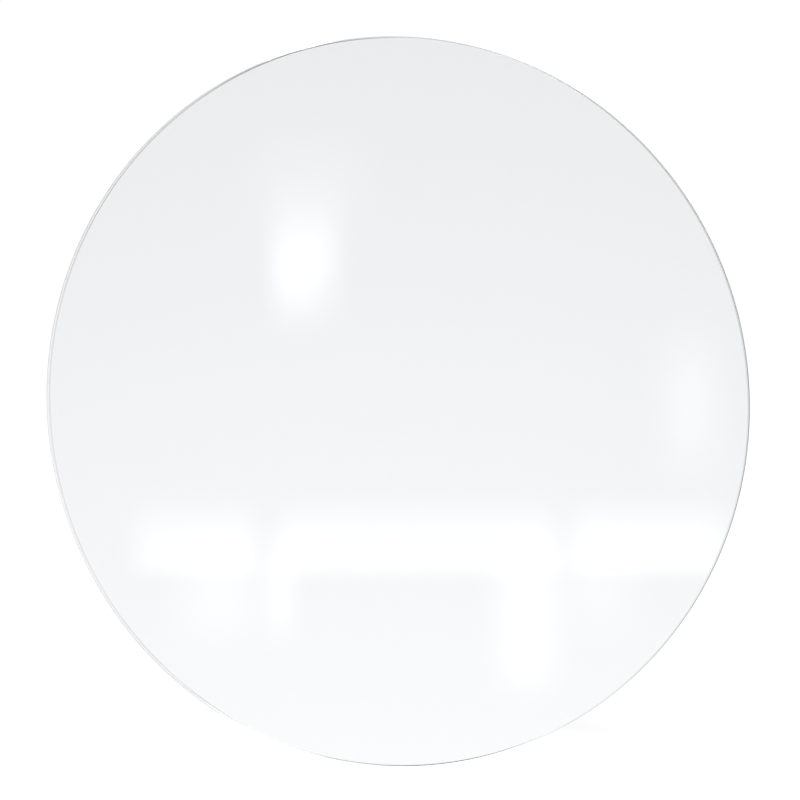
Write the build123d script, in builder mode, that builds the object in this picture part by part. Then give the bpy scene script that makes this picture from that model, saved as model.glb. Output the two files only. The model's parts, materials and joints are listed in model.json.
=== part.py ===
from build123d import *
from math import cos, radians, sin
import os

# Countertop mirror: a frameless round mirror glass on a folding easel leg.
# The glass faces -Y and leans back; the leg opens behind it and is held by a friction hinge.
# Origin: middle of the front foot's sole, on the counter. Millimetres, +Z up.

# ---- mirror glass ----
DISC_DIAMETER = 300.0
GLASS_THICKNESS = 3.0
FRONT_ARRIS = 0.5           # bevel ground on the front rim of the glass
BACK_ARRIS = 0.2            # and on the back rim, lighter to spare the coatings
COATING_INSET = 0.3         # coatings stop this far inside the rim
SILVER_THICKNESS = 0.05
PAINT_THICKNESS = 0.1
FILM_THICKNESS = 0.2

# ---- how it stands ----
LEAN_BACK = 15.0            # mirror's lean from vertical
LEG_OPEN = 25.0             # angle between leg and mirror when standing
LEG_STOP = 32.0             # angle at which the leg's heel meets the bracket
EDGE_CLEARANCE = 1.2        # air under the lowest point of the glass
FOOT_SETBACK = 14.0         # glass's lower front edge to the middle of the front foot

# ---- back plate and what bonds it to the glass ----
PLATE_DIAMETER = 250.0
PLATE_SHEET = 1.2
PLATFORM_RADIUS = 97.0
STEP_RUN = 6.0
STEP_RISE = 6.0
LIP_HEIGHT = 4.0
PRESS_BEND = 2.0
BEAD_COUNT = 5              # stiffening beads pressed into the platform, fanned below the hinge
BEAD_FAN = 210.0
BEAD_RADIUS = 64.0
BEAD_LENGTH = 46.0
BEAD_WIDTH = 10.0
BEAD_RISE = 1.6
BEAD_SLOPE = 45.0
TAPE_THICKNESS = 1.0
TAPE_WIDTH = 12.0
TAPE_LENGTH = 50.0
TAPE_RADIUS = 113.0
TAPE_COUNT = 8
TONGUE_WIDTH = 38.0
TONGUE_OVERLAP = 42.0       # height up the mirror at which the tongue runs into the plate
TONGUE_BEND = 3.0
LIP_NOTCH_MARGIN = 3.0

# ---- front foot ----
FOOT_WIDTH = 34.0
FOOT_DEPTH = 10.0
FOOT_THICKNESS = 3.0
FOOT_CORNER = 2.0
STEM_SPACING = 20.0
STEM_RADIUS = 2.0
BUTTON_RADIUS = 3.2
BUTTON_HEIGHT = 1.6
FOOT_SHELF_DEPTH = 12.0     # shelf the foot hangs under, front to back of the sole's middle

# ---- hinge ----
HINGE_HEIGHT = 205.0        # up the mirror, from its lower edge to the hinge axis
BRACKET_SHEET = 2.0
BRACKET_WIDTH = 72.0
BRACKET_HEIGHT = 52.0
BRACKET_RISE = 2.0          # bracket's middle sits this far above the axis
BRACKET_CORNER = 6.0
PIVOT_STANDOFF = 7.5        # bracket face to the hinge axis
EAR_INSIDE = 17.05
EAR_RADIUS = 7.5
EAR_ROOT = 24.0
WELD_LEG = 1.2
SCREW_SPACING_X = 54.0
SCREW_SPACING_Y = 34.0
SCREW_RADIUS = 1.95
SCREW_LENGTH = 8.0
SCREW_HOLE_RADIUS = 2.15
SCREW_HEAD_RADIUS = 3.8
SCREW_HEAD_HEIGHT = 2.6
SCREW_SOCKET = 1.25         # radius of the hexagon socket
SCREW_SOCKET_DEPTH = 1.5
NUT_BODY_RADIUS = 4.1
NUT_BODY_HEIGHT = 3.0
NUT_SPIGOT_RADIUS = 2.75
NUT_BORE_RADIUS = 2.0
BOLT_RADIUS = 3.0
BOLT_CLEARANCE = 0.05
BOLT_HEAD_RADIUS = 5.25
BOLT_HEAD_HEIGHT = 3.3
BOLT_SOCKET = 2.3
BOLT_SOCKET_DEPTH = 2.0
BOLT_OVERHANG = 2.6         # thread showing beyond the nut
SPRING_RADIUS = 6.0
SPRING_THICKNESS = 0.7
SPRING_DISH = 0.35
WASHER_RADIUS = 6.0
WASHER_THICKNESS = 1.2
LOCK_NUT_FLATS = 10.0
LOCK_NUT_HEX = 4.6
LOCK_NUT_CHAMFER = 30.0     # corners of the hexagon turned down at this angle
LOCK_NUT_COLLAR = 1.5
LOCK_NUT_COLLAR_RADIUS = 4.5
INSERT_RADIUS = 3.9
INSERT_THICKNESS = 1.3
BUSH_FLANGE_RADIUS = 5.5
BUSH_FLANGE = 1.0
BUSH_BODY_RADIUS = 4.0
SLEEVE_RADIUS = 4.5

# ---- leg ----
LEG_SHEET = 1.5
LEG_DEPTH = 9.0             # web and turned edges together
WEB_OFFSET = 5.0            # hinge axis to the inner face of the web
LEG_BEND = 2.0
HEEL_HEIGHT = 22.0
HEAD_HALF_WIDTH = 16.0
NECK_DROP = 28.0            # below the axis the leg starts to splay
SPLAY_DROP = 150.0          # and here it has reached its full width
TOE_OUTER = 38.0
TOE_INNER = 24.0
CROTCH_DROP = 72.0
CROTCH_HALF_WIDTH = 7.0
LEG_LOBE_RADIUS = 5.5
SPLAY_FILLET = 80.0
CROTCH_FILLET = 6.0
CORNER_FILLET = 4.0
LEG_BEAD_TOP = 14.0         # bead down the web, from here below the axis
LEG_BEAD_END = 60.0
LEG_BEAD_WIDTH = 9.0
LEG_BEAD_RISE = 1.2

# ---- toe caps and bumpers ----
CAP_WALL = 2.0
CAP_GRIP = 14.0
CAP_SOLE = 3.0
CAP_CORNER = 3.0
GROOVE_COUNT = 3            # grip grooves round each cap
GROOVE_PITCH = 3.4
GROOVE_WIDTH = 1.2
GROOVE_DEPTH = 0.6
GROOVE_START = 3.0
BUMPER_RADIUS = 6.0
BUMPER_EDGE = 1.5
BUMPER_DROP = 110.0         # below the axis, under the folded leg's edges
BUMPER_X = 30.0
BUMPER_GAP = 0.1

# ---- derived frame ----
lean = radians(LEAN_BACK)
leg_angle = radians(LEG_OPEN - LEAN_BACK)       # leg's own slope from vertical
disc_radius = DISC_DIAMETER / 2
plate_radius = PLATE_DIAMETER / 2
sideways = Vector(1, 0, 0)
up_mirror = Vector(0, sin(lean), cos(lean))
behind = Vector(0, cos(lean), -sin(lean))
lower_edge = Vector(0, -FOOT_SETBACK, EDGE_CLEARANCE + GLASS_THICKNESS * sin(lean))

film_back = GLASS_THICKNESS + SILVER_THICKNESS + PAINT_THICKNESS + FILM_THICKNESS
flange_front = film_back + TAPE_THICKNESS
flange_back = flange_front + PLATE_SHEET
platform_front = flange_front + STEP_RISE
platform_back = platform_front + PLATE_SHEET
bracket_back = platform_back + BRACKET_SHEET
pivot_depth = bracket_back + PIVOT_STANDOFF
ear_outside = EAR_INSIDE + BRACKET_SHEET


def on_mirror(height, depth):
    """Point at a height up the mirror and a depth behind its front face."""
    return lower_edge + up_mirror * height + behind * depth


def mirror_plane(height, depth):
    """Plane parallel to the mirror, its normal pointing backwards and its y up the mirror."""
    return Plane(origin=on_mirror(height, depth), x_dir=-sideways, z_dir=behind)


pivot = on_mirror(HINGE_HEIGHT, pivot_depth)
leg_up = Vector(0, -sin(leg_angle), cos(leg_angle))
leg_out = Vector(0, cos(leg_angle), sin(leg_angle))

disc_axis = Axis(on_mirror(disc_radius, 0), behind)
disc_section = Plane(origin=on_mirror(disc_radius, 0), x_dir=sideways, z_dir=up_mirror)
hinge_axis = Axis(pivot, sideways)
hinge_side = Plane(origin=pivot, x_dir=behind, z_dir=sideways)
hinge_section = Plane(origin=pivot, x_dir=behind, z_dir=-up_mirror)

os.makedirs("parts", exist_ok=True)


def hand_in(piece, name):
    """Label a finished piece and write it out."""
    piece.part.label = name
    export_step(piece.part, f"parts/{name}.step")


# Float glass disc with a ground and polished edge.
with BuildPart() as mirror_glass:
    with BuildSketch(mirror_plane(disc_radius, 0)):
        Circle(disc_radius)
    extrude(amount=GLASS_THICKNESS)
    chamfer(mirror_glass.edges().filter_by(GeomType.CIRCLE).sort_by(disc_axis)[0], FRONT_ARRIS)
    chamfer(mirror_glass.edges().filter_by(GeomType.CIRCLE).sort_by(disc_axis)[-1], BACK_ARRIS)
hand_in(mirror_glass, "mirror_glass")

# The three layers on the back of the glass, front to back.
layers = (
    ("silver_layer", SILVER_THICKNESS),
    ("backing_paint", PAINT_THICKNESS),
    ("safety_film", FILM_THICKNESS),
)
layer_front = GLASS_THICKNESS
for layer_name, layer_thickness in layers:
    with BuildPart() as layer:
        with BuildSketch(mirror_plane(disc_radius, layer_front)):
            Circle(disc_radius - COATING_INSET)
        extrude(amount=layer_thickness)
    hand_in(layer, layer_name)
    layer_front += layer_thickness

# Strips of double-sided foam tape between the film and the plate's flange.
with BuildPart() as tape_pads:
    with BuildSketch(mirror_plane(disc_radius, film_back)):
        with PolarLocations(TAPE_RADIUS, TAPE_COUNT):
            Rectangle(TAPE_WIDTH, TAPE_LENGTH)
    extrude(amount=TAPE_THICKNESS)
hand_in(tape_pads, "tape_pads")

# Pressed steel plate: raised platform, bonding flange, turned lip, and a tongue at the
# bottom that is bent level to carry the front foot.
shelf_back = FOOT_SHELF_DEPTH / 2
tongue_foot_height = (
    FOOT_THICKNESS - lower_edge.Z + flange_front * sin(lean)
) / cos(lean)
tongue_top = on_mirror(TONGUE_OVERLAP, flange_front)
tongue_knee = on_mirror(tongue_foot_height, flange_front)
bracket_middle = HINGE_HEIGHT + BRACKET_RISE
bead_start = -90 - BEAD_FAN / 2

with BuildPart() as back_plate:
    with BuildSketch(disc_section):
        with BuildLine():
            FilletPolyline(
                (0, platform_front),
                (PLATFORM_RADIUS, platform_front),
                (PLATFORM_RADIUS + STEP_RUN, flange_front),
                (plate_radius, flange_front),
                (plate_radius, flange_front + LIP_HEIGHT),
                radius=PRESS_BEND,
            )
            offset(amount=PLATE_SHEET, side=Side.LEFT)
        make_face()
    revolve(axis=disc_axis)
    with BuildSketch(mirror_plane(disc_radius - plate_radius, flange_back)):
        Rectangle(TONGUE_WIDTH + LIP_NOTCH_MARGIN, 4 * LIP_HEIGHT)
    extrude(amount=LIP_HEIGHT, mode=Mode.SUBTRACT)
    with BuildSketch(Plane.YZ):
        with BuildLine():
            FilletPolyline(
                (tongue_top.Y, tongue_top.Z),
                (tongue_knee.Y, tongue_knee.Z),
                (shelf_back, FOOT_THICKNESS),
                radius=TONGUE_BEND,
            )
            offset(amount=PLATE_SHEET, side=Side.LEFT)
        make_face()
    extrude(amount=TONGUE_WIDTH / 2, both=True)
    with BuildSketch(Plane.XY.offset(FOOT_THICKNESS)):
        with GridLocations(STEM_SPACING, 0, 2, 1):
            Circle(STEM_RADIUS)
    extrude(amount=PLATE_SHEET, mode=Mode.SUBTRACT)
    with BuildSketch(mirror_plane(bracket_middle, platform_front)):
        with GridLocations(SCREW_SPACING_X, SCREW_SPACING_Y, 2, 2):
            Circle(NUT_SPIGOT_RADIUS)
    extrude(amount=PLATE_SHEET, mode=Mode.SUBTRACT)
    for depth, bead_mode in ((platform_back, Mode.ADD), (platform_front, Mode.SUBTRACT)):
        with BuildSketch(mirror_plane(disc_radius, depth)):
            with PolarLocations(BEAD_RADIUS, BEAD_COUNT, bead_start, BEAD_FAN, endpoint=True):
                SlotOverall(BEAD_LENGTH, BEAD_WIDTH)
        extrude(amount=BEAD_RISE, taper=BEAD_SLOPE, mode=bead_mode)
hand_in(back_plate, "back_plate")

# Clinch nuts pressed into the platform from the glass side.
with BuildPart() as clinch_nuts:
    with BuildSketch(mirror_plane(bracket_middle, platform_front)):
        with GridLocations(SCREW_SPACING_X, SCREW_SPACING_Y, 2, 2):
            Circle(NUT_BODY_RADIUS)
            Circle(NUT_BORE_RADIUS, mode=Mode.SUBTRACT)
    extrude(amount=-NUT_BODY_HEIGHT)
    with BuildSketch(mirror_plane(bracket_middle, platform_front)):
        with GridLocations(SCREW_SPACING_X, SCREW_SPACING_Y, 2, 2):
            Circle(NUT_SPIGOT_RADIUS)
            Circle(NUT_BORE_RADIUS, mode=Mode.SUBTRACT)
    extrude(amount=PLATE_SHEET)
hand_in(clinch_nuts, "clinch_nuts")

# Hinge bracket: base plate with two ears welded on, a bolt hole through both.
with BuildPart() as hinge_bracket:
    with BuildSketch(mirror_plane(bracket_middle, platform_back)):
        RectangleRounded(BRACKET_WIDTH, BRACKET_HEIGHT, BRACKET_CORNER)
        with GridLocations(SCREW_SPACING_X, SCREW_SPACING_Y, 2, 2):
            Circle(SCREW_HOLE_RADIUS, mode=Mode.SUBTRACT)
    extrude(amount=BRACKET_SHEET)
    with BuildSketch(hinge_side.offset(EAR_INSIDE)):
        Circle(EAR_RADIUS)
        with Locations((-PIVOT_STANDOFF, 0)):
            Rectangle(BRACKET_SHEET, EAR_ROOT, align=(Align.MIN, Align.CENTER))
        make_hull()
    extrude(amount=BRACKET_SHEET)
    with BuildSketch(Plane(origin=pivot, x_dir=sideways, z_dir=up_mirror)):
        with BuildLine():
            Polyline(
                (ear_outside, -PIVOT_STANDOFF),
                (ear_outside + WELD_LEG, -PIVOT_STANDOFF),
                (ear_outside, WELD_LEG - PIVOT_STANDOFF),
                close=True,
            )
        make_face()
    extrude(amount=EAR_ROOT / 2, both=True)
    mirror(about=Plane.YZ)
    with BuildSketch(hinge_side):
        Circle(BOLT_RADIUS + BOLT_CLEARANCE)
    extrude(amount=ear_outside + WELD_LEG, both=True, mode=Mode.SUBTRACT)
hand_in(hinge_bracket, "hinge_bracket")

# Socket screws holding the bracket to the clinch nuts.
with BuildPart() as bracket_screws:
    with BuildSketch(mirror_plane(bracket_middle, bracket_back)):
        with GridLocations(SCREW_SPACING_X, SCREW_SPACING_Y, 2, 2):
            Circle(SCREW_HEAD_RADIUS)
    extrude(amount=SCREW_HEAD_HEIGHT)
    fillet(bracket_screws.faces().sort_by(Axis((0, 0, 0), behind))[-4:].edges(), radius=1.2)
    with BuildSketch(mirror_plane(bracket_middle, bracket_back)):
        with GridLocations(SCREW_SPACING_X, SCREW_SPACING_Y, 2, 2):
            Circle(SCREW_RADIUS)
    extrude(amount=-SCREW_LENGTH)
    chamfer(bracket_screws.faces().sort_by(Axis((0, 0, 0), behind))[:4].edges(), length=0.5)
    with BuildSketch(mirror_plane(bracket_middle, bracket_back + SCREW_HEAD_HEIGHT)):
        with GridLocations(SCREW_SPACING_X, SCREW_SPACING_Y, 2, 2):
            RegularPolygon(SCREW_SOCKET, 6)
    extrude(amount=-SCREW_SOCKET_DEPTH, mode=Mode.SUBTRACT)
hand_in(bracket_screws, "bracket_screws")

# Friction stack on the bolt, from the bracket's ear outwards along -X.
spring_start = -ear_outside
spring_middle = spring_start - SPRING_DISH - SPRING_THICKNESS
washer_start = 2 * spring_middle - spring_start
nut_start = washer_start - WASHER_THICKNESS
collar_start = nut_start - LOCK_NUT_HEX
nut_end = collar_start - LOCK_NUT_COLLAR
bolt_end = nut_end - BOLT_OVERHANG
bore_radius = BOLT_RADIUS + BOLT_CLEARANCE

# Button-head bolt the leg turns on.
with BuildPart() as hinge_bolt:
    with BuildSketch(hinge_side.offset(ear_outside)):
        Circle(BOLT_HEAD_RADIUS)
    extrude(amount=BOLT_HEAD_HEIGHT)
    fillet(hinge_bolt.faces().sort_by(hinge_axis)[-1].edges(), radius=2.2)
    with BuildSketch(hinge_side.offset(ear_outside)):
        Circle(BOLT_RADIUS)
    extrude(amount=bolt_end - ear_outside)
    chamfer(hinge_bolt.faces().sort_by(hinge_axis)[0].edges(), length=0.6)
    with BuildSketch(hinge_side.offset(ear_outside + BOLT_HEAD_HEIGHT)):
        RegularPolygon(BOLT_SOCKET, 6)
    extrude(amount=-BOLT_SOCKET_DEPTH, mode=Mode.SUBTRACT)
hand_in(hinge_bolt, "hinge_bolt")

# Two disc springs, set mouth to mouth.
with BuildPart() as disc_springs:
    with BuildSketch(hinge_section):
        with BuildLine():
            Polyline(
                (bore_radius, spring_start - SPRING_DISH),
                (SPRING_RADIUS, spring_start),
                (SPRING_RADIUS, spring_start - SPRING_THICKNESS),
                (bore_radius, spring_middle),
                close=True,
            )
        make_face()
    revolve(axis=hinge_axis)
    mirror(about=Plane.YZ.offset(spring_middle))
hand_in(disc_springs, "disc_springs")

with BuildPart() as flat_washer:
    with BuildSketch(hinge_side.offset(washer_start)):
        Circle(WASHER_RADIUS)
        Circle(bore_radius, mode=Mode.SUBTRACT)
    extrude(amount=-WASHER_THICKNESS)
hand_in(flat_washer, "flat_washer")

# Self-locking nut: hexagon, then a collar that holds the nylon ring.
with BuildPart() as lock_nut:
    with BuildSketch(hinge_side.offset(nut_start)):
        RegularPolygon(LOCK_NUT_FLATS / 2, 6, major_radius=False)
    extrude(amount=-LOCK_NUT_HEX)
    with BuildSketch(hinge_side.offset(nut_start)):
        Circle(LOCK_NUT_FLATS / 2)
    extrude(amount=-LOCK_NUT_HEX, taper=LOCK_NUT_CHAMFER - 90, mode=Mode.INTERSECT)
    with BuildSketch(hinge_side.offset(collar_start)):
        Circle(LOCK_NUT_COLLAR_RADIUS)
    extrude(amount=-LOCK_NUT_COLLAR)
    with BuildSketch(hinge_side.offset(nut_end)):
        Circle(INSERT_RADIUS)
    extrude(amount=INSERT_THICKNESS, mode=Mode.SUBTRACT)
    with BuildSketch(hinge_side.offset(nut_end)):
        Circle(bore_radius)
    extrude(amount=LOCK_NUT_HEX + LOCK_NUT_COLLAR, mode=Mode.SUBTRACT)
hand_in(lock_nut, "lock_nut")

with BuildPart() as nut_insert:
    with BuildSketch(hinge_side.offset(nut_end)):
        Circle(INSERT_RADIUS)
        Circle(bore_radius, mode=Mode.SUBTRACT)
    extrude(amount=INSERT_THICKNESS)
hand_in(nut_insert, "nut_insert")

# Rubber front foot, pulled through the shelf on two buttoned stems.
with BuildPart() as front_foot:
    with BuildSketch(Plane.XY):
        RectangleRounded(FOOT_WIDTH, FOOT_DEPTH, FOOT_CORNER)
    extrude(amount=FOOT_THICKNESS)
    with BuildSketch(Plane.XY.offset(FOOT_THICKNESS)):
        with GridLocations(STEM_SPACING, 0, 2, 1):
            Circle(STEM_RADIUS)
    extrude(amount=PLATE_SHEET)
    with BuildSketch(Plane.XY.offset(FOOT_THICKNESS + PLATE_SHEET)):
        with GridLocations(STEM_SPACING, 0, 2, 1):
            Circle(BUTTON_RADIUS)
    extrude(amount=BUTTON_HEIGHT, taper=20)
hand_in(front_foot, "front_foot")

# Rubber bumpers the leg's turned edges come down on when it is folded.
bumper_height = pivot_depth + WEB_OFFSET + LEG_SHEET - LEG_DEPTH - BUMPER_GAP - platform_back
with BuildPart() as bumper_pads:
    with BuildSketch(mirror_plane(HINGE_HEIGHT - BUMPER_DROP, platform_back)):
        with GridLocations(2 * BUMPER_X, 0, 2, 1):
            Circle(BUMPER_RADIUS)
    extrude(amount=bumper_height)
    fillet(bumper_pads.faces().sort_by(Axis((0, 0, 0), behind))[-2:].edges(), radius=BUMPER_EDGE)
hand_in(bumper_pads, "bumper_pads")

# Forked leg, pressed from sheet with its edges turned towards the mirror. The web carries on
# above the axis as a heel, cut so that it lands flat on the bracket at full opening.
web_back = WEB_OFFSET + LEG_SHEET
edge_front = web_back - LEG_DEPTH
leg_length = (pivot.Z - CAP_SOLE + edge_front * sin(leg_angle)) / cos(leg_angle)
leg_plane = Plane(origin=pivot, x_dir=-sideways, z_dir=leg_out)
stop_turn = radians(LEG_STOP - LEG_OPEN)
stop_normal = behind * cos(stop_turn) - up_mirror * sin(stop_turn)
stop_plane = Plane(origin=pivot - stop_normal * PIVOT_STANDOFF, z_dir=stop_normal)

half_outline = [
    (HEAD_HALF_WIDTH, HEEL_HEIGHT),
    (HEAD_HALF_WIDTH, -NECK_DROP),
    (TOE_OUTER, -SPLAY_DROP),
    (TOE_OUTER, -leg_length),
    (TOE_INNER, -leg_length),
    (TOE_INNER, -SPLAY_DROP),
    (CROTCH_HALF_WIDTH, -CROTCH_DROP),
]
other_half = [(-x, y) for x, y in reversed(half_outline)]

with BuildPart() as support_leg:
    with BuildSketch(leg_plane.offset(edge_front)) as leg_outline:
        with BuildLine():
            Polyline(*half_outline, *other_half, close=True)
        make_face()
        toes, splay, crotch, neck, heel = leg_outline.vertices().group_by(Axis.Y)
        fillet(toes + heel, radius=CORNER_FILLET)
        fillet(splay + neck, radius=SPLAY_FILLET)
        fillet(crotch, radius=CROTCH_FILLET)
    extrude(amount=LEG_DEPTH)
    fillet(support_leg.faces().sort_by(Axis((0, 0, 0), leg_out))[-1].edges(), radius=LEG_BEND)
    with BuildSketch(leg_plane.offset(edge_front)):
        offset(leg_outline.sketch_local, amount=-LEG_SHEET)
    extrude(amount=LEG_DEPTH - LEG_SHEET, mode=Mode.SUBTRACT)
    for depth, bead_mode in ((web_back, Mode.ADD), (WEB_OFFSET, Mode.SUBTRACT)):
        with BuildSketch(leg_plane.offset(depth)):
            with Locations((0, -(LEG_BEAD_TOP + LEG_BEAD_END) / 2)):
                SlotOverall(LEG_BEAD_END - LEG_BEAD_TOP, LEG_BEAD_WIDTH, rotation=90)
        extrude(amount=LEG_BEAD_RISE, taper=BEAD_SLOPE, mode=bead_mode)
    split(bisect_by=stop_plane, keep=Keep.TOP)
    with BuildSketch(hinge_side.offset(HEAD_HALF_WIDTH - LEG_SHEET)):
        Circle(LEG_LOBE_RADIUS)
    extrude(amount=LEG_SHEET)
    with BuildSketch(hinge_side.offset(LEG_SHEET - HEAD_HALF_WIDTH)):
        Circle(LEG_LOBE_RADIUS)
    extrude(amount=-LEG_SHEET)
    with BuildSketch(hinge_side):
        Circle(BUSH_BODY_RADIUS)
    extrude(amount=HEAD_HALF_WIDTH, both=True, mode=Mode.SUBTRACT)
hand_in(support_leg, "support_leg")

# Nylon bushes: bodies in the leg's turned edges, flanges running against the bracket's ears.
with BuildPart() as pivot_bushes:
    with BuildSketch(hinge_side.offset(HEAD_HALF_WIDTH - LEG_SHEET)):
        Circle(BUSH_BODY_RADIUS)
    extrude(amount=LEG_SHEET)
    with BuildSketch(hinge_side.offset(HEAD_HALF_WIDTH)):
        Circle(BUSH_FLANGE_RADIUS)
    extrude(amount=BUSH_FLANGE)
    mirror(about=Plane.YZ)
    with BuildSketch(hinge_side):
        Circle(bore_radius)
    extrude(amount=HEAD_HALF_WIDTH + BUSH_FLANGE, both=True, mode=Mode.SUBTRACT)
hand_in(pivot_bushes, "pivot_bushes")

# Sleeve that keeps the leg's two edges apart when the bolt is tightened.
with BuildPart() as spacer_sleeve:
    with BuildSketch(hinge_side):
        Circle(SLEEVE_RADIUS)
        Circle(bore_radius, mode=Mode.SUBTRACT)
    extrude(amount=HEAD_HALF_WIDTH - LEG_SHEET, both=True)
hand_in(spacer_sleeve, "spacer_sleeve")

# Rubber caps over the two toes, soles cut level with the counter in the standing position.
toe_width = TOE_OUTER - TOE_INNER
cap_width = toe_width + 2 * CAP_WALL
cap_depth = LEG_DEPTH + 2 * CAP_WALL
toe_middle = (TOE_OUTER + TOE_INNER) / 2
leg_middle = web_back - LEG_DEPTH / 2
toe_centres = [(toe_middle, leg_middle), (-toe_middle, leg_middle)]
toe_end = Plane(origin=pivot - leg_up * leg_length, x_dir=sideways, z_dir=leg_up)
with BuildPart() as toe_caps:
    with BuildSketch(toe_end.offset(CAP_GRIP)):
        with Locations(*toe_centres):
            RectangleRounded(cap_width, cap_depth, CAP_CORNER)
    extrude(amount=-CAP_GRIP - 2 * CAP_SOLE)
    with BuildSketch(toe_end):
        with Locations(*toe_centres):
            Rectangle(toe_width, LEG_DEPTH)
    extrude(amount=CAP_GRIP, mode=Mode.SUBTRACT)
    for groove in range(GROOVE_COUNT):
        with BuildSketch(toe_end.offset(GROOVE_START + groove * GROOVE_PITCH)):
            with Locations(*toe_centres):
                RectangleRounded(cap_width, cap_depth, CAP_CORNER)
                RectangleRounded(
                    cap_width - 2 * GROOVE_DEPTH,
                    cap_depth - 2 * GROOVE_DEPTH,
                    CAP_CORNER - GROOVE_DEPTH,
                    mode=Mode.SUBTRACT,
                )
        extrude(amount=GROOVE_WIDTH, mode=Mode.SUBTRACT)
    split(bisect_by=Plane.XY, keep=Keep.TOP)
hand_in(toe_caps, "toe_caps")
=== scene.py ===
import json
import math

import bmesh
import bpy
from mathutils import Matrix, Vector


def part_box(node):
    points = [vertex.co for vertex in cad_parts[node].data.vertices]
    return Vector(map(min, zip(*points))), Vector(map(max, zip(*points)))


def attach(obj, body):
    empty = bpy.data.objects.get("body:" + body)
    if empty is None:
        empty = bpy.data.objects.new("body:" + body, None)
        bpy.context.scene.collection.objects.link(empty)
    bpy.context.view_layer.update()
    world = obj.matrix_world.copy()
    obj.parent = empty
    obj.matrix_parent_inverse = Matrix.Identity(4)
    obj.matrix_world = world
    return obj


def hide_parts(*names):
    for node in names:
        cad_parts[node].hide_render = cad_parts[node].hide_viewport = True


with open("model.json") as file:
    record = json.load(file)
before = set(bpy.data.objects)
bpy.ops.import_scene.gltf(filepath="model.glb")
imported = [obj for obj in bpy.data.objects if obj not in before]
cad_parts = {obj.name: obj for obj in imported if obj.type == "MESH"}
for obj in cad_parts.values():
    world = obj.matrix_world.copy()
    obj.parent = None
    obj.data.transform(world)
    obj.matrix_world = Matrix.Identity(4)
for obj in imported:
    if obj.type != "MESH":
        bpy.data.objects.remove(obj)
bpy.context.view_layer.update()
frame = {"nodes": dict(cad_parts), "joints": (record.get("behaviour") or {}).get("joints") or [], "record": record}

MM = 0.001

# ---- the mirror's own directions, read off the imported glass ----


def facing_normal(node, towards):
    """Mean normal of the node's large flat face that looks towards a direction."""
    total = Vector()
    for face in node.data.polygons:
        if face.normal.dot(towards) > 0.9:
            total += face.normal * face.area
    return total.normalized()


def span(node, direction):
    """The node's lowest and highest reach along a direction."""
    reaches = [vertex.co.dot(direction) for vertex in node.data.vertices]
    return min(reaches), max(reaches)


glass_node = frame["nodes"]["mirror_glass"]
front = facing_normal(glass_node, Vector((0, -1, 0)))
behind = -front
side = Vector((1, 0, 0))
up_mirror = side.cross(front)
left_rim, right_rim = span(glass_node, side)
bottom_rim, top_rim = span(glass_node, up_mirror)
front_face, back_face = span(glass_node, behind)
GLASS_THICKNESS = back_face - front_face
DISC_RADIUS = (right_rim - left_rim) / 2
disc_centre = (                 # middle of the front face
    side * (left_rim + right_rim) / 2 + up_mirror * (bottom_rim + top_rim) / 2 + behind * front_face
)
pivot = Vector(frame["joints"][0]["pos_m"])


# ---- node-tree helpers ----


class Wiring:
    """Short-hand for building one node tree."""

    def __init__(self, tree):
        self.tree = tree
        tree.nodes.clear()

    def node(self, kind, values=None, **settings):
        """A node with its settings and its input values or links."""
        made = self.tree.nodes.new(kind)
        for name, value in settings.items():
            setattr(made, name, value)
        for name, value in (values or {}).items():
            self.feed(made.inputs[name], value)
        return made

    def feed(self, socket, value):
        """Link a socket, or set its plain value."""
        if isinstance(value, bpy.types.NodeSocket):
            self.tree.links.new(value, socket)
        else:
            socket.default_value = value

    def math(self, operation, *values):
        made = self.node("ShaderNodeMath", operation=operation)
        for socket, value in zip(made.inputs, values):
            self.feed(socket, value)
        return made.outputs[0]

    def vector_math(self, operation, *values):
        made = self.node("ShaderNodeVectorMath", operation=operation)
        for socket, value in zip(made.inputs, values):
            self.feed(socket, value)
        return made

    def dot(self, first, second):
        return self.vector_math("DOT_PRODUCT", first, second).outputs["Value"]

    def smooth(self, value, low, high, bottom=0.0, top=1.0):
        """Smooth step of a value from low to high, clamped."""
        made = self.node(
            "ShaderNodeMapRange",
            {"Value": value, "From Min": low, "From Max": high, "To Min": bottom, "To Max": top},
            interpolation_type="SMOOTHSTEP",
        )
        return made.outputs["Result"]

    def mix_colour(self, factor, first, second):
        made = self.node("ShaderNodeMix", data_type="RGBA")
        self.feed(made.inputs[0], factor)
        self.feed(made.inputs[6], first)
        self.feed(made.inputs[7], second)
        return made.outputs[2]

    def ramp(self, value, stops):
        """Colour ramp through (position, colour) stops."""
        made = self.node("ShaderNodeValToRGB", {"Fac": value})
        elements = made.color_ramp.elements
        while len(elements) < len(stops):
            elements.new(1.0)
        for element, (position, colour) in zip(elements, stops):
            element.position = position
            element.color = colour
        return made.outputs[0]

    def noise(self, coordinates, scale, detail=2.0, roughness=0.5):
        made = self.node(
            "ShaderNodeTexNoise",
            {"Vector": coordinates, "Scale": scale, "Detail": detail, "Roughness": roughness},
        )
        return made.outputs["Fac"]

    def bump(self, height, strength, distance, normal=None):
        values = {"Height": height, "Strength": strength, "Distance": distance}
        if normal is not None:
            values["Normal"] = normal
        return self.node("ShaderNodeBump", values).outputs["Normal"]

    def rounded(self, radius):
        """Normal with sharp edges turned on a small radius."""
        return self.node("ShaderNodeBevel", {"Radius": radius}, samples=8).outputs[0]

    def coordinates(self):
        return self.node("ShaderNodeTexCoord").outputs["Object"]

    def principled(self, values):
        """Join a Principled surface to the output."""
        surface = self.node("ShaderNodeBsdfPrincipled", values)
        self.surface(surface.outputs[0])

    def surface(self, shader):
        self.node("ShaderNodeOutputMaterial", {"Surface": shader})


def grey(value, warmth=0.0):
    """An RGBA grey, a touch warm or cool."""
    return (value * (1 + warmth), value, value * (1 - warmth), 1.0)


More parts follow.
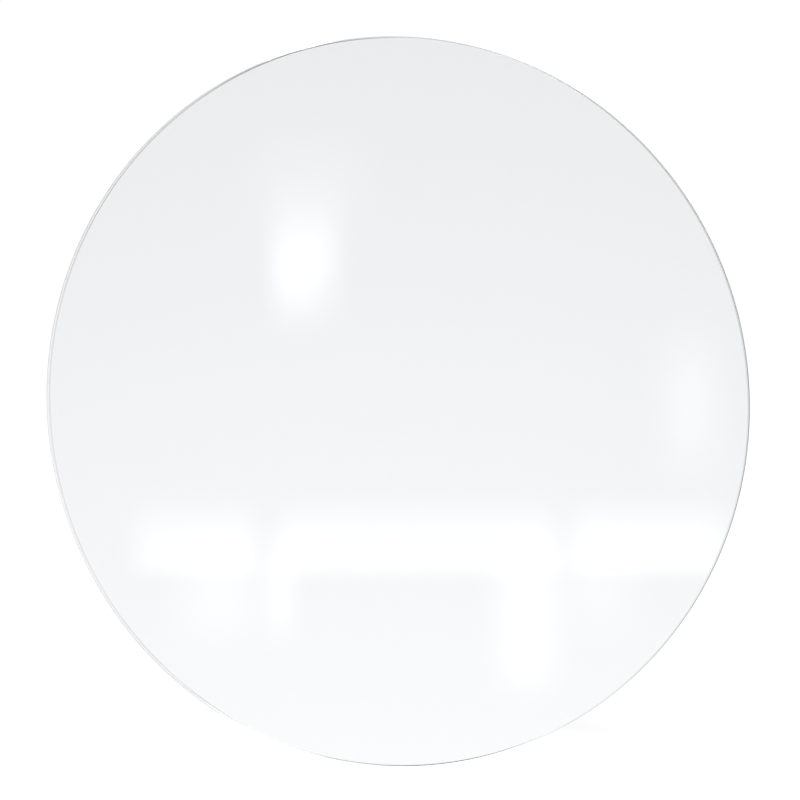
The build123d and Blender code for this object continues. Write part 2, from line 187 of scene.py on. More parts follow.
def material(name):
    """A fresh material and the wiring of its tree."""
    made = bpy.data.materials.new(name)
    made.use_nodes = True
    return made, Wiring(made.node_tree)


# ---- materials ----


def clear_glass():
    made, wiring = material("clear_float_glass")
    faint = wiring.noise(wiring.coordinates(), 9.0, detail=1.0)
    wiring.principled({
        "Base Color": wiring.mix_colour(faint, (0.992, 0.993, 0.992, 1), (0.994, 0.995, 0.994, 1)),
        "Roughness": 0.0,
        "IOR": 1.52,
        "Transmission Weight": 1.0,
    })
    return made


def silvering():
    made, wiring = material("silvering")
    faint = wiring.noise(wiring.coordinates(), 6.0, detail=1.0)
    wiring.principled({
        "Base Color": wiring.mix_colour(faint, (0.927, 0.926, 0.932, 1), (0.931, 0.93, 0.936, 1)),
        "Metallic": 1.0,
        "Roughness": 0.0,
    })
    return made


def ground_edge():
    """The flat of the rim: satin grey with a faint green from outside, see-through from within. The pale
    see-through copy within is painted light, a lit copy of the edge that keeps the rim from showing dark.
    """
    made, wiring = material("ground_glass_edge")
    place = wiring.coordinates()
    grain = wiring.noise(place, 4000.0, detail=1.0)
    drift = wiring.noise(place, 30.0, detail=2.0)
    # painted light: seen from within, the edge turns pale and clear instead of holding the ground rim's shade
    within = wiring.node("ShaderNodeNewGeometry").outputs["Backfacing"]
    satin = wiring.mix_colour(drift, (0.30, 0.32, 0.315, 1), (0.35, 0.37, 0.365, 1))
    satin_roughness = wiring.math("MULTIPLY_ADD", grain, 0.1, 0.42)
    outside = wiring.math("SUBTRACT", 1.0, within)
    wiring.principled({
        "Base Color": wiring.mix_colour(within, satin, grey(0.90)),
        "Roughness": wiring.math("MULTIPLY", satin_roughness, outside),
        "IOR": wiring.math("MULTIPLY_ADD", outside, 0.52, 1.0),
        "Transmission Weight": wiring.math("MULTIPLY_ADD", within, 0.75, 0.25),
        "Normal": wiring.bump(grain, wiring.math("MULTIPLY", outside, 0.1), 0.005 * MM),
    })
    return made


def powder_coat(name, colour, cloudy, fleck_colour):
    """Fine-texture powder coat: orange peel, a light metallic fleck and rubbed edges."""
    made, wiring = material(name)
    place = wiring.coordinates()
    peel = wiring.noise(place, 620.0, detail=3.0, roughness=0.6)
    cloud = wiring.noise(place, 22.0, detail=4.0, roughness=0.6)
    fleck = wiring.smooth(wiring.noise(place, 2400.0, detail=0.0), 0.60, 0.70)
    rounded = wiring.rounded(0.5 * MM)
    true_normal = wiring.node("ShaderNodeNewGeometry").outputs["True Normal"]
    edge = wiring.smooth(wiring.dot(rounded, true_normal), 0.985, 0.86)
    scuffed = wiring.math("MULTIPLY", edge, wiring.smooth(cloud, 0.42, 0.66))
    base = wiring.mix_colour(cloud, colour, cloudy)
    base = wiring.mix_colour(wiring.math("MULTIPLY", fleck, 0.35), base, fleck_colour)
    base = wiring.mix_colour(wiring.math("MULTIPLY", scuffed, 0.45), base, fleck_colour)
    wiring.principled({
        "Base Color": base,
        "Metallic": wiring.math("MULTIPLY", fleck, 0.4),
        "Roughness": wiring.math("MULTIPLY_ADD", cloud, 0.2, 0.34),
        "Normal": wiring.bump(peel, 0.55, 0.16 * MM, rounded),
    })
    return made


def plated_steel(name, colour, tint, streak_axis, streak_depth):
    """Bright zinc plate or turned stainless: fine streaks, cloudy tint, uneven gloss."""
    made, wiring = material(name)
    place = wiring.coordinates()
    stretch = wiring.node("ShaderNodeMapping", {"Vector": place, "Scale": streak_axis})
    streaks = wiring.noise(stretch.outputs[0], 900.0, detail=3.0, roughness=0.6)
    cloud = wiring.noise(place, 60.0, detail=2.0)
    wiring.principled({
        "Base Color": wiring.mix_colour(wiring.smooth(cloud, 0.3, 0.7), colour, tint),
        "Metallic": 1.0,
        "Roughness": wiring.math("MULTIPLY_ADD", streaks, 0.16, 0.26),
        "Normal": wiring.bump(streaks, streak_depth, 0.03 * MM, wiring.rounded(0.3 * MM)),
    })
    return made


def moulded(name, colour, worn, roughness, grain_scale, subsurface=0.0):
    """Moulded rubber or nylon: fine grain, slightly chalky where it is handled."""
    made, wiring = material(name)
    place = wiring.coordinates()
    grain = wiring.noise(place, grain_scale, detail=3.0, roughness=0.6)
    cloud = wiring.noise(place, 120.0, detail=3.0)
    wiring.principled({
        "Base Color": wiring.mix_colour(wiring.smooth(cloud, 0.35, 0.75), colour, worn),
        "Roughness": wiring.math("MULTIPLY_ADD", grain, 0.2, roughness),
        "Subsurface Weight": subsurface,
        "Subsurface Radius": (0.8 * MM, 0.7 * MM, 0.6 * MM),
        "Normal": wiring.bump(grain, 0.45, 0.07 * MM, wiring.rounded(0.35 * MM)),
    })
    return made


WEAVE_ANGLES = (math.radians(45), math.radians(-45))


def backing_film():
    """Safety film: satin silver grey, with a crossed scrim under it and faint trapped creases."""
    made, wiring = material("safety_film_satin")
    place = wiring.coordinates()
    threads = []
    for angle in WEAVE_ANGLES:
        turned = wiring.node("ShaderNodeMapping", {"Vector": place, "Rotation": (0, angle, 0)})
        wave = wiring.node(
            "ShaderNodeTexWave", {"Vector": turned.outputs[0], "Scale": 95.0, "Distortion": 0.6},
            bands_direction="X",
        )
        threads.append(wiring.smooth(wave.outputs["Fac"], 0.70, 0.95))
    scrim = wiring.math("MAXIMUM", *threads)
    cloud = wiring.noise(place, 14.0, detail=5.0, roughness=0.62)
    crease = wiring.noise(place, 5.0, detail=1.0)
    ridge = wiring.smooth(wiring.math("ABSOLUTE", wiring.math("SUBTRACT", crease, 0.5)), 0.012, 0.0)
    relief = wiring.math("ADD", wiring.math("MULTIPLY", scrim, 0.6), wiring.math("MULTIPLY", ridge, 1.2))
    base = wiring.mix_colour(wiring.smooth(cloud, 0.3, 0.7), grey(0.43, -0.02), grey(0.50, -0.015))
    base = wiring.mix_colour(wiring.math("MULTIPLY", scrim, 0.45), base, grey(0.62, -0.01))
    wiring.principled({
        "Base Color": base,
        "Metallic": 0.25,
        "Roughness": wiring.math("MULTIPLY_ADD", cloud, 0.22, 0.26),
        "Normal": wiring.bump(relief, 0.35, 0.10 * MM),
    })
    return made


def foam():
    made, wiring = material("foam_tape")
    cells = wiring.node("ShaderNodeTexVoronoi", {"Vector": wiring.coordinates(), "Scale": 2600.0})
    distance = cells.outputs["Distance"]
    # painted shade: each foam cell is darker in its hollow, where the bump sinks it
    wiring.principled({
        "Base Color": wiring.mix_colour(distance, grey(0.70), grey(0.82)),
        "Roughness": 0.9,
        "Normal": wiring.bump(distance, 0.5, 0.1 * MM),
    })
    return made


def mirror_paint():
    made, wiring = material("mirror_back_paint")
    cloud = wiring.noise(wiring.coordinates(), 60.0, detail=4.0)
    wiring.principled({
        "Base Color": wiring.mix_colour(cloud, grey(0.10, -0.03), grey(0.13, -0.02)),
        "Roughness": wiring.math("MULTIPLY_ADD", cloud, 0.2, 0.5),
        "Normal": wiring.bump(cloud, 0.2, 0.05 * MM),
    })
    return made


ALONG_X = (0.08, 1, 1)
ALONG_Z = (1, 1, 0.06)
FINISHES = {
    "glass": clear_glass(),
    "silver": silvering(),
    "paint": mirror_paint(),
    "film": backing_film(),
    "foam": foam(),
    "plate_coat": powder_coat("powder_coat_grey", grey(0.21, -0.02), grey(0.165, -0.02), grey(0.50)),
    "leg_coat": powder_coat("powder_coat_graphite", grey(0.040, -0.03), grey(0.030, -0.03), grey(0.20)),
    "zinc": plated_steel("zinc_plate", (0.70, 0.71, 0.74, 1), (0.66, 0.69, 0.75, 1), ALONG_Z, 0.10),
    "stainless": plated_steel("stainless", grey(0.62), grey(0.55), ALONG_X, 0.15),
    "spring_steel": plated_steel("spring_steel", grey(0.16), grey(0.11), ALONG_X, 0.2),
    "nylon": moulded("natural_nylon", (0.80, 0.78, 0.71, 1), (0.74, 0.71, 0.63, 1), 0.35, 1500.0, 0.2),
    "nylon_blue": moulded("blue_nylon", (0.02, 0.07, 0.26, 1), (0.03, 0.09, 0.30, 1), 0.35, 1500.0),
    "rubber": moulded("black_rubber", grey(0.016), grey(0.032), 0.55, 1300.0),
}
for part in frame["record"]["subparts"]:
    node = frame["nodes"][part["node"]]
    for slot in node.material_slots:
        slot.material = FINISHES[part["material_slot"]]


# ---- meshes built from rings ----


def circle(across, upwards, segments):
    """Unit directions round a circle, as (angle, direction) pairs."""
    angles = [2 * math.pi * segment / segments for segment in range(segments)]
    return [(angle, across * math.cos(angle) + upwards * math.sin(angle)) for angle in angles]


def skin(name, rings, finishes, finish_of=lambda index: 0, flat=()):
    """Closed mesh through rings of equal count, capped at both ends; flat names the flat bands."""
    mesh = bmesh.new()
    loops = [[mesh.verts.new(point) for point in ring] for ring in rings]
    count = len(loops[0])
    for index, (ring, following) in enumerate(zip(loops, loops[1:])):
        for segment in range(count):
            other = (segment + 1) % count
            face = mesh.faces.new((ring[segment], ring[other], following[other], following[segment]))
            face.smooth = index not in flat
            face.material_index = finish_of(index)
    mesh.faces.new(loops[0]).material_index = finish_of(0)
    mesh.faces.new(loops[-1]).material_index = finish_of(len(loops) - 2)
    bmesh.ops.recalc_face_normals(mesh, faces=mesh.faces)
    data = bpy.data.meshes.new(name)
    mesh.to_mesh(data)
    mesh.free()
    for finish in finishes:
        data.materials.append(finish)
    made = bpy.data.objects.new(name, data)
    bpy.context.scene.collection.objects.link(made)
    return made


# ---- the glass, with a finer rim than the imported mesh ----

FRONT_ARRIS = 0.5 * MM
BACK_ARRIS = 0.2 * MM
COATING_INSET = 0.3 * MM    # bare margin outside the silvering
CORNER_ROUND = 0.08 * MM
CORNER_STEPS = 4
EDGE_BAND = 1.0 * MM        # narrow flat band inside the front arris, shaded apart from the face
RIM_SEGMENTS = 720
SILVER_GAP = 0.01 * MM      # keeps the silvered face clear of the layer behind it
CLEAR, SILVERED, GROUND = range(3)


def rounded_profile(points, radius, steps):
    """The polyline with each inner corner turned on a small arc."""
    made = [points[0]]
    for before, corner, after in zip(points, points[1:], points[2:]):
        corner = Vector(corner)
        start = corner - (corner - Vector(before)).normalized() * radius
        end = corner + (Vector(after) - corner).normalized() * radius
        for step in range(steps + 1):
            share = step / steps
            along = start.lerp(corner, share).lerp(corner.lerp(end, share), share)
            made.append(tuple(along))
    made.append(points[-1])
    return made


def glass_disc():
    """Glass disc turned about the mirror's axis: clear, with a ground rim and a silvered back."""
    back = GLASS_THICKNESS - SILVER_GAP
    profile = rounded_profile(
        [
            (DISC_RADIUS - FRONT_ARRIS - EDGE_BAND, 0),
            (DISC_RADIUS - FRONT_ARRIS, 0),
            (DISC_RADIUS, FRONT_ARRIS),
            (DISC_RADIUS, back - BACK_ARRIS),
            (DISC_RADIUS - BACK_ARRIS, back),
            (DISC_RADIUS - COATING_INSET, back),
        ],
        CORNER_ROUND,
        CORNER_STEPS,
    )
    directions = circle(side, up_mirror, RIM_SEGMENTS)
    rings = [
        [disc_centre + radial * radius + behind * depth for angle, radial in directions]
        for radius, depth in profile
    ]
    finishes = (FINISHES["glass"], FINISHES["silver"], ground_edge())

    def finish_of(index):
        inner = min(profile[index][0], profile[index + 1][0])
        return GROUND if inner > DISC_RADIUS - CORNER_ROUND / 2 else CLEAR

    made = skin("glass_disc", rings, finishes, finish_of, flat=(0, len(profile) - 2))
    made.data.polygons[len(made.data.polygons) - 1].material_index = SILVERED
    return made


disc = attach(glass_disc(), "mirror")
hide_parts("mirror_glass")


# ---- the coatings and film on its back, as round as the glass ----


def layer_disc(name, node, finish):
    """Thin round layer in the space of a packed layer."""
    left, right = span(frame["nodes"][node], side)
    radius = (right - left) / 2
    near, far = (reach - front_face for reach in span(frame["nodes"][node], behind))
    eased = (far - near) / 4
    directions = circle(side, up_mirror, RIM_SEGMENTS)
    rings = [
        [disc_centre + radial * (radius - inset) + behind * depth for angle, radial in directions]
        for inset, depth in ((eased, near), (0, near + eased), (0, far - eased), (eased, far))
    ]
    return skin(name, rings, (finish,), flat=range(3))


for name, node, slot in (
    ("silver_coating", "silver_layer", "silver"),
    ("paint_coating", "backing_paint", "paint"),
    ("film_sheet", "safety_film", "film"),
):
    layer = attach(layer_disc(name, node, FINISHES[slot]), "mirror")
    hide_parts(node)


# ---- the hinge bolt, with its thread and socket cut ----

BOLT_SEGMENTS = 72
THREAD_PITCH = 1.0 * MM
THREAD_DEPTH = 0.54 * MM
THREAD_LENGTH = 8.0 * MM
THREAD_STEPS = 12           # rings per pitch
THREAD_FLANK = 2.4          # slope of the thread's flanks, in depths per pitch
THREAD_FLAT = 0.1           # how far the flanks are cut off at the crest
TIP_CHAMFER = 0.8 * MM
SHANK_RADIUS = 3.0 * MM
HEAD_HEIGHT = 3.3 * MM
HEAD_EDGE = 0.5 * MM
DOME_STEPS = 10
SOCKET_CORNER = 2.3 * MM    # centre of the socket to its corners
SOCKET_DEPTH = 2.0 * MM
SOCKET_LEAD = 0.15 * MM


def thread_radius(along, angle):
    """Radius of a right-hand thread at a distance from the tip and an angle."""
    turn = (along / THREAD_PITCH - angle / (2 * math.pi)) % 1.0
    groove = min(1.0, max(0.0, THREAD_FLANK * abs(turn - 0.5) - THREAD_FLAT))
    return min(SHANK_RADIUS - THREAD_DEPTH * groove, SHANK_RADIUS - TIP_CHAMFER + along)


def hexagon_radius(angle, corner):
    """Distance from the middle of a hexagon to its side at an angle."""
    sector = math.radians(60)
    off_middle = (angle % sector) - sector / 2
    return corner * math.cos(sector / 2) / math.cos(off_middle)


def threaded_bolt():
    """Button-head bolt along the hinge axis, head on +X, thread end on -X."""
    bolt_low, bolt_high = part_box("hinge_bolt")
    head_radius = (bolt_high.z - bolt_low.z) / 2
    tip = bolt_low.x
    seat = bolt_high.x - HEAD_HEIGHT
    directions = circle(up_mirror, behind, BOLT_SEGMENTS)

    def ring(x, radius_at):
        middle = Vector((x, pivot.y, pivot.z))
        return [middle + radial * radius_at(angle) for angle, radial in directions]

    rings = []
    for step in range(round(THREAD_LENGTH / THREAD_PITCH) * THREAD_STEPS + 1):
        along = step * THREAD_PITCH / THREAD_STEPS
        rings.append(ring(tip + along, lambda angle: thread_radius(along, angle)))
    rings.append(ring(tip + THREAD_LENGTH + THREAD_PITCH, lambda angle: SHANK_RADIUS))
    rings.append(ring(seat, lambda angle: SHANK_RADIUS))
    underside = len(rings) - 1
    rings.append(ring(seat, lambda angle: head_radius))
    dome_foot = seat + HEAD_EDGE
    land = SOCKET_CORNER + 2 * SOCKET_LEAD
    for step in range(DOME_STEPS + 1):
        turn = math.pi / 2 * step / DOME_STEPS
        radius = land + (head_radius - land) * math.cos(turn)
        rings.append(ring(dome_foot + (HEAD_HEIGHT - HEAD_EDGE) * math.sin(turn), lambda angle: radius))
    dome_top = len(rings) - 1
    rings.append(ring(bolt_high.x, lambda angle: hexagon_radius(angle, SOCKET_CORNER + SOCKET_LEAD)))
    rings.append(ring(bolt_high.x - SOCKET_LEAD, lambda angle: hexagon_radius(angle, SOCKET_CORNER)))
    rings.append(ring(bolt_high.x - SOCKET_DEPTH, lambda angle: hexagon_radius(angle, SOCKET_CORNER)))
    flat = (underside, underside + 1, dome_top, dome_top + 1, dome_top + 2)
    return skin("threaded_hinge_bolt", rings, (FINISHES["stainless"],), flat=flat)


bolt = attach(threaded_bolt(), "mirror")
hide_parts("hinge_bolt")


# ---- weld beads at the roots of the bracket's ears ----

BEAD_RADIUS = 1.35 * MM
BEAD_LENGTH = 25.0 * MM
BEAD_RIPPLE = 1.5 * MM      # length of one scale of the bead
BEAD_OFFSET = 0.2 * BEAD_RADIUS     # its middle stands this far off both faces
BEAD_WANDER = 0.05          # slow change of its radius, as a share
BEAD_SCALES = 0.12          # fall of its radius along each scale, as a share
BEAD_SEGMENTS = 28
BEAD_STEPS = 150
EAR_CLEAR = 4.0 * MM        # this far above the base, only the ears are left


def bracket_corner():
    """Outer face of the ears, and depth of the base's face behind the hinge axis."""
    places = [vertex.co - pivot for vertex in frame["nodes"]["hinge_bracket"].data.vertices]
    widest = max(place.x for place in places)
    base = max(place.dot(behind) for place in places if place.x > 0.9 * widest)
    ear = max(place.x for place in places if place.dot(behind) > base + EAR_CLEAR)
    return ear, base


def weld_bead(hand):
    """Rippled fillet weld along one ear's root; hand is +1 on the right, -1 on the left."""
    ear, base = bracket_corner()
    middle = pivot + side * (hand * (ear + BEAD_OFFSET)) + behind * (base + BEAD_OFFSET)
    directions = circle(side, behind, BEAD_SEGMENTS)
    rings = []
    for step in range(1, BEAD_STEPS):
        along = BEAD_LENGTH * (step / BEAD_STEPS - 0.5)
        to_end = BEAD_LENGTH / 2 - abs(along)
        closing = math.sqrt(1 - max(0.0, 1 - to_end / BEAD_RADIUS) ** 2)
        scale = (along / BEAD_RIPPLE) % 1.0
        wander = 1 + BEAD_WANDER * math.sin(along / BEAD_RIPPLE * 1.7 + hand)
        rippled = 1 - BEAD_SCALES * (1 - math.sqrt(1 - scale ** 2))
        radius = BEAD_RADIUS * closing * wander * rippled
        rings.append([middle + up_mirror * along + radial * radius for angle, radial in directions])
    name = "weld_bead_right" if hand > 0 else "weld_bead_left"
    return skin(name, rings, (FINISHES["zinc"],))


for hand in (1, -1):
    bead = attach(weld_bead(hand), "mirror")


# ---- camera: on the right of the mirror and a little above its normal ----

CAMERA_AZIMUTH = math.radians(16.76)
CAMERA_ELEVATION = math.radians(18.92)
CAMERA_DISTANCE = 1.4
CAMERA_LENS = 153.7
SENSOR_WIDTH = 36.0         # lens and sensor in millimetres, as Blender wants them
AIM_RIGHT = 5.4 * MM
AIM_UP = 1.6 * MM


def sight_frame(azimuth, elevation):
    """Directions of a camera at an azimuth and elevation: towards it, its right and its up."""
    back = Vector((
        math.sin(azimuth) * math.cos(elevation),
        -math.cos(azimuth) * math.cos(elevation),
        math.sin(elevation),
    ))
    right = Vector((math.cos(azimuth), math.sin(azimuth), 0))
    return back, right, back.cross(right)


camera_back, camera_right, camera_up = sight_frame(CAMERA_AZIMUTH, CAMERA_ELEVATION)

camera_data = bpy.data.cameras.new("camera")
camera_data.lens = CAMERA_LENS
camera_data.sensor_width = SENSOR_WIDTH
camera_data.clip_start = 0.01
camera = bpy.data.objects.new("camera", camera_data)
camera.rotation_mode = "QUATERNION"
camera.rotation_quaternion = (-camera_back).to_track_quat("-Z", "Y")
camera.location = (
    disc_centre + camera_back * CAMERA_DISTANCE + camera_right * AIM_RIGHT + camera_up * AIM_UP
)
bpy.context.scene.collection.objects.link(camera)
bpy.context.scene.camera = camera


# ---- walls of soft boxes that the mirror shows ----


def reflected(direction):
    """A direction as the mirror turns it."""
    return direction - front * (2 * direction.dot(front))


def rectangle(name, centre, across, up, width, height):
    """A flat stage card."""
    mesh = bpy.data.meshes.new(name)
    corners = [(x * width / 2, y * height / 2, 0) for x, y in ((-1, -1), (1, -1), (1, 1), (-1, 1))]
    mesh.from_pydata(corners, [], [(0, 1, 2, 3)])
    made = bpy.data.objects.new(name, mesh)
    turn = Matrix((across, up, across.cross(up))).transposed().to_4x4()
    made.matrix_world = Matrix.Translation(centre) @ turn
    bpy.context.scene.collection.objects.link(made)
    return made


def soft_box(wiring, x, y, left, right, low, high, side_edge, low_edge, high_edge, gain):
    """Brightness of one soft-edged rectangle on the wall, in metres from its middle."""
    across = wiring.math(
        "MULTIPLY",
        wiring.smooth(x, left - side_edge, left + side_edge),
        wiring.smooth(x, right + side_edge, right - side_edge),
    )
    upwards = wiring.math(
        "MULTIPLY",
        wiring.smooth(y, low - low_edge, low + low_edge),
        wiring.smooth(y, high + high_edge, high - high_edge),
    )
    return wiring.math("MULTIPLY", wiring.math("MULTIPLY", across, upwards), gain)


WALL_SPREAD = 0.8           # size of a wall, as a share of its distance
FAR_WALL = 3.6              # distances of the walls from the glass, in metres
NEAR_WALL = 1.6


def soft_box_wall(name, sight, distance, boxes):
    """Card of lights square to the reflected line of sight; it lights nothing else."""
    back, right, up = sight
    size = distance * WALL_SPREAD
    wall = rectangle(
        name, disc_centre - reflected(back) * distance, reflected(right), reflected(up), size, size,
    )
    made, wiring = material(name)
    place = wiring.node("ShaderNodeSeparateXYZ", {"Vector": wiring.coordinates()})
    x, y = place.outputs["X"], place.outputs["Y"]
    total = 0.0
    for box in boxes:
        total = wiring.math("ADD", total, soft_box(wiring, x, y, *box))
    glow = wiring.node("ShaderNodeEmission", {"Strength": total})
    clear = wiring.node("ShaderNodeBsdfTransparent")
    both = wiring.node("ShaderNodeAddShader")
    wiring.feed(both.inputs[0], glow.outputs[0])
    wiring.feed(both.inputs[1], clear.outputs[0])
    wiring.surface(both.outputs[0])
    wall.data.materials.append(made)
    wall.visible_camera = False
    wall.visible_diffuse = False
    wall.visible_shadow = False


# The photo's reflection: a tall window high on the left, a faint strip on the right, and a long
# band in three stretches with two legs and two paler patches hanging from it. In metres from
# the middle of each wall; a box is left, right, low, high, its side, low and high edges, and gain.
CRISP = 0.02
SOFT = 0.05
HAZY = 0.08
BAND_LOW = -0.25
BAND_HIGH = -0.17
BAND_MIDDLE = (BAND_LOW + BAND_HIGH) / 2


def stretch(left, right, gain):
    """Part of the long band, crisp below and soft above."""
    return left, right, BAND_LOW, BAND_HIGH, 1.5 * CRISP, CRISP, SOFT, gain


def hanging(left, right, foot, edge, gain):
    """A leg or a paler patch that hangs from the long band."""
    return left, right, foot, BAND_MIDDLE, edge, SOFT, SOFT, gain


def upright(left, right, low, high, edge, gain):
    """A window, a strip or a glow, hazy at its foot and its head."""
    return left, right, low, high, edge, HAZY, HAZY, gain


CAMERA_BOXES = (
    upright(-0.18, -0.09, 0.16, 0.26, 1.5 * CRISP, 0.16),       # window
    upright(-0.18, -0.12, 0.15, 0.20, CRISP, 0.09),             # its brighter foot
    upright(-0.20, -0.06, 0.26, 0.36, SOFT, 0.04),              # glow above it
    upright(0.40, 0.46, -0.08, 0.08, SOFT, 0.09),               # strip on the right
    stretch(-0.38, -0.21, 0.09),
    stretch(-0.17, 0.23, 0.10),
    stretch(0.26, 0.48, 0.12),
    hanging(-0.19, -0.15, -0.34, CRISP, 0.07),                  # left leg
    hanging(0.16, 0.22, -0.41, SOFT, 0.12),                     # right leg
    hanging(-0.31, -0.21, -0.34, SOFT, 0.06),
    hanging(0.25, 0.34, -0.33, SOFT, 0.04),
)
# For the front and the quarter view, two windows side by side and one band.
FRONT_BOXES = (
    (-0.30, -0.13, 0.02, 0.30, CRISP, CRISP, CRISP, 0.22),
    (-0.11, -0.06, 0.02, 0.30, CRISP, CRISP, CRISP, 0.10),
    (-0.42, 0.40, -0.33, -0.23, SOFT, CRISP, SOFT, 0.12),
)
QUARTER_BOXES = (
    (-0.14, -0.03, 0.05, 0.20, CRISP, CRISP, CRISP, 0.24),
    (-0.01, 0.03, 0.05, 0.20, CRISP, CRISP, CRISP, 0.10),
    (-0.24, 0.12, -0.01, 0.01, CRISP, CRISP / 2, CRISP, 0.14),
)

camera_sight = (camera_back, camera_right, camera_up)
front_sight = sight_frame(0, math.radians(3))
quarter_sight = sight_frame(math.radians(45), math.radians(25))
soft_box_wall("camera_soft_boxes", camera_sight, FAR_WALL, CAMERA_BOXES)
soft_box_wall("front_soft_boxes", front_sight, FAR_WALL, FRONT_BOXES)
soft_box_wall("quarter_soft_boxes", quarter_sight, NEAR_WALL, QUARTER_BOXES)


# ---- studio: pale surround, soft lamps, pale floor ----

WHITE = 1.02                # a little over full white, so that the background stays clean
FILL = (0.31, 0.32, 0.33, 1)
FOOT_TONE = grey(1.085, -0.008)     # the gradient that the glass shows, lightest at its foot
HEAD_TONE = grey(0.88, -0.008)
GRADIENT_HEIGHT = 0.3       # its height, as a share of the distance
GRADIENT_BOW = 2.0          # how far it rises towards the sides
BOW_OFFSET = 0.009          # middle of the bow, to the left of the line of sight
ABOVE = math.radians(24)    # a brighter patch this far above the reflected line of sight, which
ABOVE_GAIN = 0.5            # only the glass's lower arris shows


def surround():
    """Pale room: white to the camera, a soft fill on matt surfaces, a gradient in reflections."""
    world = bpy.data.worlds.new("studio")
    bpy.context.scene.world = world
    world.use_nodes = True
    wiring = Wiring(world.node_tree)
    direction = wiring.node("ShaderNodeTexCoord").outputs["Generated"]
    along = wiring.dot(direction, -reflected(camera_back))
    height = wiring.dot(direction, reflected(camera_up))
    across = wiring.math("ADD", wiring.dot(direction, reflected(camera_right)), BOW_OFFSET)
    bow = wiring.math("MULTIPLY", wiring.math("MULTIPLY", across, across), GRADIENT_BOW)
    share = wiring.math("MULTIPLY_ADD", wiring.math("ADD", height, bow), 1 / GRADIENT_HEIGHT, 0.5)
    card = wiring.ramp(share, ((0.0, FOOT_TONE), (1.0, HEAD_TONE)))
    rise = wiring.node("ShaderNodeSeparateXYZ", {"Vector": direction}).outputs["Z"]
    room = wiring.ramp(
        wiring.math("MULTIPLY_ADD", rise, 0.5, 0.5),
        (
            (0.00, grey(0.50)), (0.50, grey(0.70, -0.01)), (0.57, grey(0.86, -0.01)),
            (0.68, grey(0.92, -0.01)), (0.84, grey(0.75, -0.02)), (1.00, grey(0.45, -0.02)),
        ),
    )
    dim = wiring.smooth(wiring.dot(direction, behind), -0.1, 0.6, bottom=1.0, top=0.55)
    room = wiring.vector_math("SCALE", room)
    wiring.feed(room.inputs["Scale"], dim)
    above = reflected(camera_up) * math.sin(ABOVE) - reflected(camera_back) * math.cos(ABOVE)
    patch = wiring.smooth(wiring.dot(direction, above), 0.97, 0.99, top=ABOVE_GAIN)
    room = wiring.vector_math("ADD", room.outputs[0], patch)
    aside = wiring.smooth(along, 0.985, 0.94)
    mirrored = wiring.mix_colour(aside, card, room.outputs[0])
    path = wiring.node("ShaderNodeLightPath")
    through = wiring.math(
        "MULTIPLY",
        path.outputs["Is Transmission Ray"],
        wiring.smooth(wiring.dot(direction, behind), 0.0, 0.3),
    )
    seen = wiring.mix_colour(through, mirrored, grey(WHITE))
    seen = wiring.mix_colour(path.outputs["Is Camera Ray"], seen, grey(WHITE))
    light = wiring.mix_colour(path.outputs["Is Diffuse Ray"], seen, FILL)
    background = wiring.node("ShaderNodeBackground", {"Color": light, "Strength": 1.0})
    wiring.node("ShaderNodeOutputWorld", {"Surface": background.outputs[0]})


surround()


def lamp(name, place, size, power):
    """A soft square lamp aimed at the mirror."""
    data = bpy.data.lights.new(name, "AREA")
    data.shape = "SQUARE"
    data.size = size
    data.energy = power
    made = bpy.data.objects.new(name, data)
    made.location = place
    made.rotation_mode = "QUATERNION"
    made.rotation_quaternion = (disc_centre - Vector(place)).to_track_quat("-Z", "Y")
    bpy.context.scene.collection.objects.link(made)
    return made


lamp("overhead", (0.2, -0.2, 2.4), 1.6, 26.0)
front_left = lamp("front_left", (-2.0, -1.2, 0.45), 0.9, 60.0)
front_left.visible_glossy = False           # it lights the edges but never shows in the glass
front_left.visible_transmission = False
lamp("back_key", (1.9, 1.3, 1.25), 0.7, 46.0)
lamp("back_rim", (-1.3, 1.0, 1.9), 0.5, 18.0)
lamp("back_fill", (-1.0, 2.6, 0.7), 1.6, 16.0)

FLOOR_SIZE = 60.0
FEET_REACH = 0.07           # shadows on the floor are strongest this near the feet's middle,
SHADOW_REACH = 0.24         # faint this far out,
PLAIN_REACH = 0.60          # and gone from here on
stand_middle = Vector((0, pivot.y + 0.2 * pivot.z, 0))       # among the feet


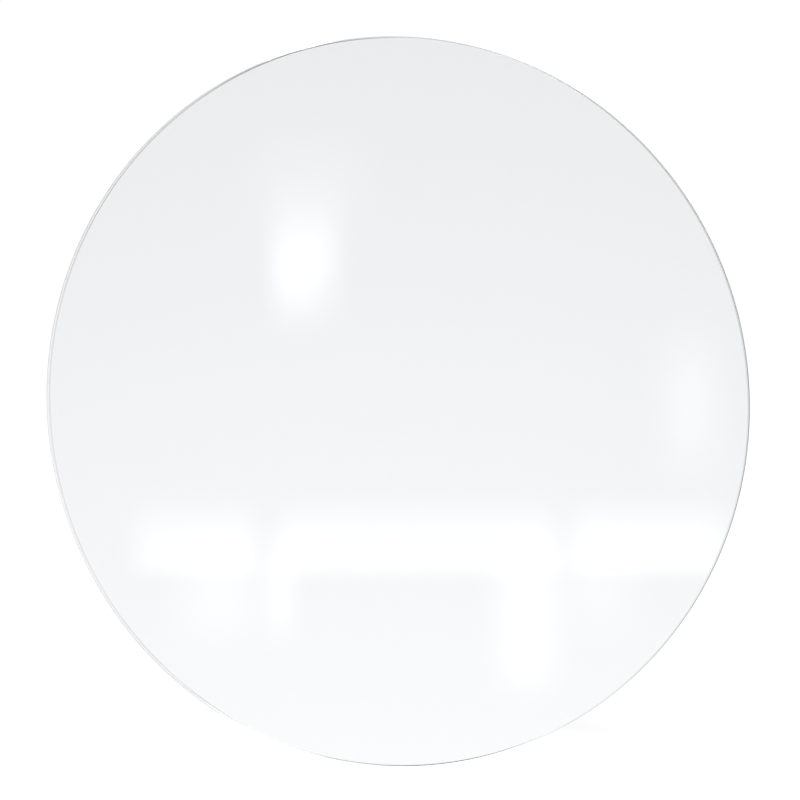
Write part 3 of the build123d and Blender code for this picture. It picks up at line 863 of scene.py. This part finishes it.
def pale_floor():
    """Counter top: soft shadows round the feet, plain white further out. The floor glows, painted light that
    washes the shadows out away from the feet: white to the camera, a painted pool of light round the feet in
    reflections, and a dim painted fill from below on matt surfaces.
    """
    floor = rectangle("floor", Vector(), Vector((1, 0, 0)), Vector((0, 1, 0)), FLOOR_SIZE, FLOOR_SIZE)
    made, wiring = material("pale_floor")
    place = wiring.coordinates()
    reach = wiring.vector_math("DISTANCE", place, stand_middle).outputs["Value"]
    depth = wiring.node("ShaderNodeSeparateXYZ", {"Vector": place}).outputs["Y"]
    lower_edge = disc_centre - up_mirror * DISC_RADIUS
    ahead = wiring.smooth(depth, lower_edge.y + 5 * MM, lower_edge.y - 20 * MM, top=0.97)
    near = wiring.smooth(reach, FEET_REACH, SHADOW_REACH, bottom=0.15, top=0.80)
    far = wiring.smooth(reach, SHADOW_REACH, PLAIN_REACH, bottom=0.80, top=1.0)
    plain = wiring.math("MAXIMUM", ahead, wiring.math("MAXIMUM", near, far))
    mottle = wiring.noise(place, 40.0, detail=2.0)
    matt = wiring.node("ShaderNodeBsdfPrincipled", {
        "Base Color": wiring.mix_colour(mottle, grey(0.88), grey(0.90)),
        "Roughness": 0.8,
    })
    # painted light: the floor's glow, white to the camera, brightest round the feet in reflections, and a dim fill
    # for matt surfaces
    path = wiring.node("ShaderNodeLightPath")
    glow = wiring.smooth(reach, 0.1, 1.4, bottom=0.93, top=0.68)
    glow = wiring.mix_colour(path.outputs["Is Camera Ray"], glow, grey(WHITE))
    glow = wiring.mix_colour(path.outputs["Is Diffuse Ray"], glow, grey(0.34))
    painted_floor_glow = wiring.node("ShaderNodeEmission", {"Color": glow, "Strength": 1.0})
    blend = wiring.node("ShaderNodeMixShader")
    wiring.feed(blend.inputs[0], plain)
    wiring.feed(blend.inputs[1], matt.outputs[0])
    wiring.feed(blend.inputs[2], painted_floor_glow.outputs[0])
    wiring.surface(blend.outputs[0])
    floor.data.materials.append(made)


pale_floor()

bpy.context.scene.view_settings.view_transform = "Standard"
